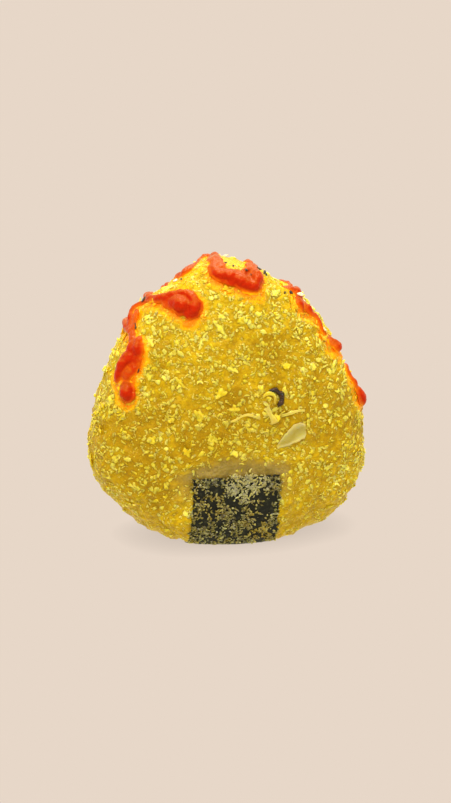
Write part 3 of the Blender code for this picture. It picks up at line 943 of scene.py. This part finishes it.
def strewn_kind(name, shapes, crust, material, draw):
    """Strews one kind of small crumb over the batter."""
    count, (least, most), pale, lift, tip = CRUMB_KINDS[name]
    places, facing = scattered(crust.data, count, draw)
    kept = draw.random(count) < crumb_share(places)
    places, facing = places[kept], facing[kept]
    lengths = least + (most - least) * draw.beta(*CRUMB_LENGTH_BIAS, len(places))
    lengths *= eased(places[:, 2], *CRUMB_SHRINK)
    tints = np.clip(draw.normal(pale, CRUMB_TINT_SPREAD, len(places)), 0, 1)
    piece = strewn(name, shapes, places, facing, lengths, tints, draw, lift, tip)
    finish_piece(piece, material, "rice_ball")


def large_places():
    """Directions to the large crumbs, at least CRUMB_GAP apart and clear of the strip."""
    draw = random.Random(LARGE_PLACES_SEED)
    balls = []
    for _ in range(CRUMB_TRIES):
        balls.append([draw.gauss(0, 1) for _ in range(3)])
    directions = unit(unit(np.array(balls)) * (HALF_WIDTH, HALF_DEPTH, HALF_HEIGHT))
    places = on_crust(directions)
    beside, above = from_strip(places)
    wanted = (places[:, 2] > CRUMB_FLOOR) & (np.maximum(beside, above) >= CRUMB_LENGTH[1] / 4)
    chosen = []
    for index in np.flatnonzero(wanted):
        if all(np.linalg.norm(places[index] - places[other]) >= CRUMB_GAP for other in chosen):
            chosen.append(index)
    return directions[chosen]


def bread_crumbs(crust):
    """All kinds of crumbs on the batter, from fine grains to large torn flakes."""
    shapes, draw = seeded("crust")
    finish = crumb_finish("bread_crumb")
    grains = [grain_shape(shapes) for _ in range(GRAIN_SHAPES)]
    chips = [chip_shape(shapes) for _ in range(CHIP_SHAPES)]
    shreds = [shred_shape(shapes, *SHRED_BEND) for _ in range(SHRED_SHAPES)]
    curls = [shred_shape(shapes, *CURL_BEND) for _ in range(CURL_SHAPES)]
    for name, made in zip(CRUMB_KINDS, (grains, grains, chips, shreds, curls)):
        strewn_kind(name, made, crust, finish, draw)
    directions = large_places()
    places = on_crust(directions)
    rough = np.maximum(halo(places), yellow(places)) < LARGE_ON_SMOOTH
    kept = rough & (from_sauce(places) > LARGE_TO_SAUCE)
    directions, places = directions[kept], places[kept]
    lengths = draw.uniform(*CRUMB_LENGTH, len(places)) * eased(places[:, 2], *LARGE_SHRINK)
    tints = draw.uniform(*LARGE_TINTS, len(places))
    torn = [torn_shape(shapes) for _ in range(TORN_SHAPES)]
    large = strewn("large_crumbs", torn, places, outward(directions), lengths, tints, draw, 0.0, LARGE_TIP)
    finish_piece(large, finish, "rice_ball")


def ribbon(name, material):
    """A thin strip laid along stops on the crust, cupped across and paler along its rim."""
    thickness, cup, (low, high), stops = RIBBONS[name]
    route = smooth_route(stops)
    directions = directions_of(route)
    middle = on_crust(directions, route[:, 3] * MM)
    normals = outward(directions)
    sideways = unit(np.cross(normals, np.gradient(middle, axis=0)))
    bm = bmesh.new()
    last = len(route) - 1
    bmesh.ops.create_grid(bm, x_segments=last, y_segments=RIBBON_COLUMNS, size=1.0)
    rows = np.array([round((vert.co.x + 1) / 2 * last) for vert in bm.verts])
    sides = np.array([vert.co.y for vert in bm.verts])
    half = route[rows, 2] * MM
    ragged = 1 + layered(middle[rows] + sideways[rows] * (sides * half)[:, None], RIBBON_RAGGED)
    points = middle[rows] + sideways[rows] * (sides * half * ragged)[:, None]
    points += normals[rows] * (cup * half * (sides * sides - 0.5))[:, None]
    for vert, point in zip(bm.verts, points):
        vert.co = point
    bmesh.ops.solidify(bm, geom=bm.faces[:], thickness=thickness)
    rims_sorted(bm, len(sides))
    piece = object_from(name, bm)
    rims = np.tile(np.abs(sides) ** 3, 2)
    mark(piece.data, "tint", low + (high - low) * rims)
    finish_piece(piece, material, "rice_ball")


def single_pieces():
    """The large leaf-like flake, the pale shreds and the dark curl on the front face."""
    pale = crumb_finish("pale_shred_crumb")
    others = {"leaf_flake": crumb_finish("leaf_flake_crumb"), "dark_curl": burnt_finish("burnt_curl")}
    for name in RIBBONS:
        ribbon(name, others.get(name, pale))


def sauce_bits():
    """Burnt black flecks and pale crumbs stuck to the sauce."""
    shapes, draw = seeded("sauce")
    chips = [chip_shape(shapes) for _ in range(BIT_SHAPES)]
    burnt = burnt_finish("burnt_fleck")
    crumb = crumb_finish("sauce_crumb")
    kinds = (("burnt_flecks", CHAR_FLECKS, burnt), ("sauce_crumbs", SAUCE_CRUMBS, crumb))
    for name, rows, material in kinds:
        directions = directions_of(rows)
        depth = np.maximum(sauce_height(directions), 0)
        places = on_crust(directions, depth + BIT_OVER_SAUCE)
        facing = outward(directions)
        lengths = np.array([row[2] for row in rows]) * MM
        tints = np.full(len(rows), BIT_TINT)
        piece = strewn(name, chips, places, facing, lengths, tints, draw, BIT_LIFT, BIT_TIP)
        piece.data.attributes["stain"].data.foreach_set("value", np.zeros(len(piece.data.vertices)))
        finish_piece(piece, material, "rice_ball")


def sauce_height(directions):
    """How high the beads of sauce reach above the crust in each direction."""
    points = on_crust(directions)
    height = []
    for point, direction in zip(points, directions):
        offset = point - BEAD_CENTRES
        along = offset @ direction
        beside = (offset * offset).sum(axis=1) - along * along
        inside = BEAD_RADII * BEAD_RADII - beside
        height.append(np.where(inside > 0, np.sqrt(np.maximum(inside, 0)) - along, 0).max())
    return np.array(height)


def red_sauce():
    """The drizzle: runs of beads with a thin skirt, melted together."""
    bm = bmesh.new()
    bmesh.ops.create_icosphere(bm, subdivisions=2, radius=1.0)
    bead = template(bm)
    directions = np.concatenate([BEAD_DIRECTIONS, FILM_DIRECTIONS])
    radii = np.concatenate([BEAD_RADII, FILM_RADII])
    upright = outward(directions)
    along = unit(np.cross(upright, (0.3, 1.0, 0.2)))
    frames = np.stack([along, np.cross(upright, along), upright], axis=1) * radii[:, None, None]
    count = len(BEAD_RADII)
    wide, flat = SAUCE_SKIRT
    frames[count:] *= np.array([1.0, 1.0, FILM_FLATNESS])[:, None]
    skirts = frames[:count] * np.array([wide, wide, flat])[:, None]
    frames = np.concatenate([frames, skirts])
    places = np.concatenate([BEAD_CENTRES, FILM_CENTRES, on_crust(BEAD_DIRECTIONS)])
    sauce, _, _ = joined("red_sauce", [bead], np.zeros(len(places), int), frames, places)
    melt = sauce.modifiers.new("Melt", "REMESH")
    melt.mode = "VOXEL"
    melt.voxel_size = SAUCE_VOXEL
    apply_modifiers(sauce)
    bm = bmesh.new()
    bm.from_mesh(sauce.data)
    every_way = {"use_axis_x": True, "use_axis_y": True, "use_axis_z": True}
    for _ in range(SAUCE_SMOOTHINGS):
        bmesh.ops.smooth_vert(bm, verts=bm.verts[:], factor=0.5, **every_way)
    bm.to_mesh(sauce.data)
    bm.free()
    sauce.data.polygons.foreach_set("use_smooth", [True] * len(sauce.data.polygons))
    points = points_of(sauce.data)
    points += normals_of(sauce.data) * layered(points, SAUCE_ROUGHNESS)[:, None]
    points[:, 2] = np.maximum(points[:, 2], 0)
    move_points(sauce.data, points)
    rays = points - CENTRE
    crust = on_crust(unit(rays))
    height = np.linalg.norm(rays, axis=1) - np.linalg.norm(crust - CENTRE, axis=1)
    mark(sauce.data, "depth", np.clip(height / SAUCE_DEEP, 0, 1))
    # Painted light mask: how far each point of the sauce faces up.
    mark(sauce.data, "upward_painted_light", np.maximum(normals_of(sauce.data)[:, 2], 0))
    finish_piece(sauce, sauce_finish(), "rice_ball")


def apply_modifiers(piece):
    """Turns what a piece's modifiers make into its own mesh."""
    graph = bpy.context.evaluated_depsgraph_get()
    mesh = bpy.data.meshes.new_from_object(piece.evaluated_get(graph))
    piece.modifiers.clear()
    piece.data = mesh


def strip_points(across, along, lift):
    """Points of the strip: across from -1 to 1, along from the front's top edge to the back's."""
    start = math.radians(STRIP_TOP_TILT)
    angle = start + along * (math.pi - 2 * start)
    away = np.stack([np.zeros_like(angle), -np.cos(angle), -np.sin(angle)], axis=1)
    beside = np.stack([STRIP_MIDDLE + across * STRIP_WIDTH / 2 - CENTRE[0], angle * 0, angle * 0], axis=1)
    contact_shadow = np.zeros(len(angle))
    far = np.full(len(angle), 2 * HALF_HEIGHT)
    for _ in range(REACH_STEPS):
        reach = (contact_shadow + far) / 2
        inside = form(beside + away * reach[:, None]) < 1
        contact_shadow, far = np.where(inside, reach, contact_shadow), np.where(inside, far, reach)
    return CENTRE + beside + away * (reach + lift)[:, None]


def frayed(across, along):
    """How far an edge frays in or out, for places in a field of noise."""
    places = np.stack([across, along, along * 0], axis=1)
    return noise_at(places, 1.0) + 0.6 * noise_at(places, 0.4)


def seaweed_sheet():
    """The crinkled seaweed, frayed at its edges."""
    bm = bmesh.new()
    bmesh.ops.create_grid(bm, x_segments=STRIP_COLUMNS, y_segments=STRIP_ROWS, size=1.0)
    outer = len(bm.verts)
    bmesh.ops.extrude_face_region(bm, geom=bm.faces[:])
    rims_sorted(bm, outer)
    sheet = object_from("seaweed_sheet", bm)
    points = points_of(sheet.data)
    across, along = points[:, 0], (points[:, 1] + 1) / 2
    fray = frayed(across * 0.6 + 4, along * 60) * SIDE_FRAY / (STRIP_WIDTH / 2)
    across = across * (1 + fray * np.abs(across) ** SIDE_NEARNESS)
    place, spread, most = SIDE_BULGE
    bulge = np.exp(-(((along - place) / spread) ** 2)) * (across < 0) * np.abs(across) ** SIDE_NEARNESS
    across = across - bulge * most
    fray = frayed(across * 13, along * 2 + 9) * END_FRAY
    along = along + fray * np.abs(2 * along - 1) ** END_NEARNESS
    inner = np.arange(len(points)) >= outer
    crinkles = layered(strip_points(across, along, 0.0), STRIP_CRINKLES)
    lift = STRIP_PROUD + crinkles - STRIP_THICKNESS * inner
    points = strip_points(across, along, lift)
    points[:, 2] = np.maximum(points[:, 2], np.where(inner, STRIP_THICKNESS, 0))
    move_points(sheet.data, points)
    finish_piece(sheet, seaweed_finish(), "seaweed_strip")
    return sheet


def strip_share(points):
    """The share of crumbs that stay at each place of the strip."""
    share = STRIP_COVER + layered(points, STRIP_CLUMPS)
    for spot in BARE_SPOTS:
        share = share - STRIP_BARENESS * near_spot(points, *spot)
    share = share + STRIP_CREAM_COVER * near_spot(points, *CREAM_SPOT)
    return np.clip(share, STRIP_LEAST_COVER, 1)


def strip_crumbs(sheet):
    """Grey-green and cream crumbs and shreds stuck to the seaweed."""
    shapes, draw = seeded("strip")
    finish = crumb_finish("strip_crumb")
    grains = [grain_shape(shapes) for _ in range(STRIP_GRAINS[0])]
    shreds = [shred_shape(shapes, *STRIP_SHRED_BEND) for _ in range(STRIP_SHREDS[0])]
    kinds = (("strip_grains", STRIP_GRAINS, grains), ("strip_shreds", STRIP_SHREDS, shreds))
    for name, (_, count, (least, most)), made in kinds:
        places, facing = scattered(sheet.data, count, draw)
        outer = ((places - CENTRE) * facing).sum(axis=1) > 0
        high = places[:, 2] > STRIP_CRUMB_FLOOR
        kept = outer & (draw.random(count) < strip_share(places)) & high
        places, facing = places[kept], facing[kept]
        lengths = draw.uniform(least, most, len(places))
        cream = near_spot(places, *CREAM_SPOT)
        places[:, 2] += draw.exponential(CREAM_PILE, len(places)) * cream
        tints = np.clip(draw.normal(*STRIP_TINT, len(places)) + CREAM_TINT * cream, 0, 1)
        lift, tip = STRIP_CRUMB_LIFT, STRIP_CRUMB_TIP
        piece = strewn(name, made, places, facing, lengths, tints, draw, lift, tip)
        finish_piece(piece, finish, "seaweed_strip")


def flat_light(name, shade):
    """A stage finish that glows evenly, with a painted contact shadow that darkens it where the ball stands
    on it.
    """
    material = bpy.data.materials.new(name)
    material.use_nodes = True
    tree = material.node_tree
    tree.nodes.clear()
    glow = tree.nodes.new("ShaderNodeEmission")
    # Painted shadow: ambient occlusion darkens the glow near the ball.
    contact_shadow = tree.nodes.new("ShaderNodeAmbientOcclusion")
    contact_shadow.inputs["Distance"].default_value = CONTACT_REACH
    mix = tree.nodes.new("ShaderNodeMix")
    mix.data_type = "RGBA"
    mix.inputs[6].default_value = [part * CONTACT_SHADE for part in shade[:3]] + [1.0]
    mix.inputs[7].default_value = shade
    tree.links.new(contact_shadow.outputs["AO"], mix.inputs[0])
    tree.links.new(mix.outputs[2], glow.inputs["Color"])
    tree.links.new(glow.outputs["Emission"], tree.nodes.new("ShaderNodeOutputMaterial").inputs["Surface"])
    return material


def backdrop():
    """A plain pale floor, with a dome of the same shade behind it."""
    shade = flat_light("pale_backdrop", colour(*BACKDROP))
    bm = bmesh.new()
    bmesh.ops.create_circle(bm, cap_ends=True, segments=96, radius=FLOOR_RADIUS)
    floor = object_from("floor", bm)
    bm = bmesh.new()
    bmesh.ops.create_uvsphere(bm, u_segments=48, v_segments=24, radius=DOME_RADIUS)
    dome = object_from("dome", bm)
    for stage in (floor, dome):
        stage.data.materials.append(shade)
        for rays in ("diffuse", "glossy", "transmission", "shadow"):
            setattr(stage, "visible_" + rays, False)


def soft_light(name, place, size, power, shade):
    """A round lamp that faces the ball."""
    lamp = bpy.data.lights.new(name, "AREA")
    lamp.shape = "DISK"
    lamp.size = size
    lamp.energy = power
    lamp.color = shade
    light = bpy.data.objects.new(name, lamp)
    light.location = place
    light.rotation_euler = (Vector(place) - Vector(LIGHTS_AIM)).to_track_quat("Z", "Y").to_euler()
    bpy.context.scene.collection.objects.link(light)


def lights():
    """An even warm light from all round, and the lamps."""
    world = bpy.data.worlds.new("even_light")
    world.use_nodes = True
    world.node_tree.nodes["Background"].inputs["Color"].default_value = WORLD_COLOUR
    world.node_tree.nodes["Background"].inputs["Strength"].default_value = WORLD_STRENGTH
    bpy.context.scene.world = world
    for name, settings in LIGHTS.items():
        soft_light(name, *settings)


def camera():
    """The photograph's view: a little left of the front and from slightly above."""
    flat = math.cos(VIEW_RISE)
    back = Vector((math.sin(VIEW_TURN) * flat, -math.cos(VIEW_TURN) * flat, math.sin(VIEW_RISE)))
    lens = bpy.data.cameras.new("camera")
    lens.lens = LENS
    lens.sensor_width = SENSOR_WIDTH
    view = bpy.data.objects.new("camera", lens)
    view.location = Vector(VIEW_AIM) + back * VIEW_DISTANCE
    view.rotation_euler = back.to_track_quat("Z", "Y").to_euler()
    bpy.context.scene.collection.objects.link(view)
    bpy.context.scene.camera = view
    bpy.context.scene.view_settings.view_transform = "Standard"


def main():
    camera()
    lights()
    backdrop()
    crust = batter_crust()
    bread_crumbs(crust)
    single_pieces()
    red_sauce()
    sauce_bits()
    strip_crumbs(seaweed_sheet())


main()
